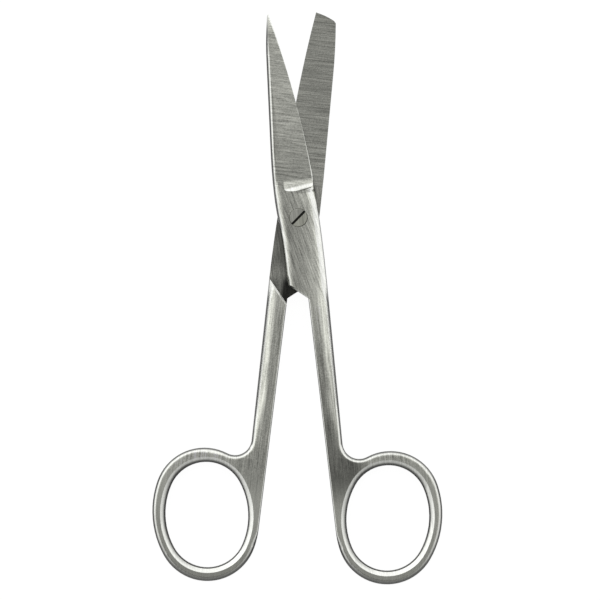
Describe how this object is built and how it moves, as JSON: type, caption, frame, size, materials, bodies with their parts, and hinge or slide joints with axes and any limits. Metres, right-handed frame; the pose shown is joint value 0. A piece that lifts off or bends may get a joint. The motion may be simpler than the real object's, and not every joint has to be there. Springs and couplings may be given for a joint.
{
  "type": "surgical scissors",
  "caption": "Straight operating scissors with one sharp and one blunt blade, a lap joint turning on a flush slotted screw, and two finger rings.",
  "frame": {"origin": "on the pivot axis, at the back face of the rear half", "axes": "+Y along the line of symmetry towards the blade tips, +Z along the pivot axis towards the screw's head, +X to the right as seen from the screw's head"},
  "size_m": [0.0735, 0.1448, 0.0046],
  "materials": {
    "forged_steel": "satin",
    "screw_steel": "satin"
  },
  "bodies": {
    "rear": {"rear_half": "forged_steel", "pivot_screw": "screw_steel"},
    "front": {"front_half": "forged_steel"}
  },
  "joints": [
    {"name": "pivot", "type": "hinge", "parent": "rear", "child": "front", "pos_m": [0, 0, 0], "axis": [0, 0, 1], "range_deg": [-13.4, 76.6]}
  ]
}
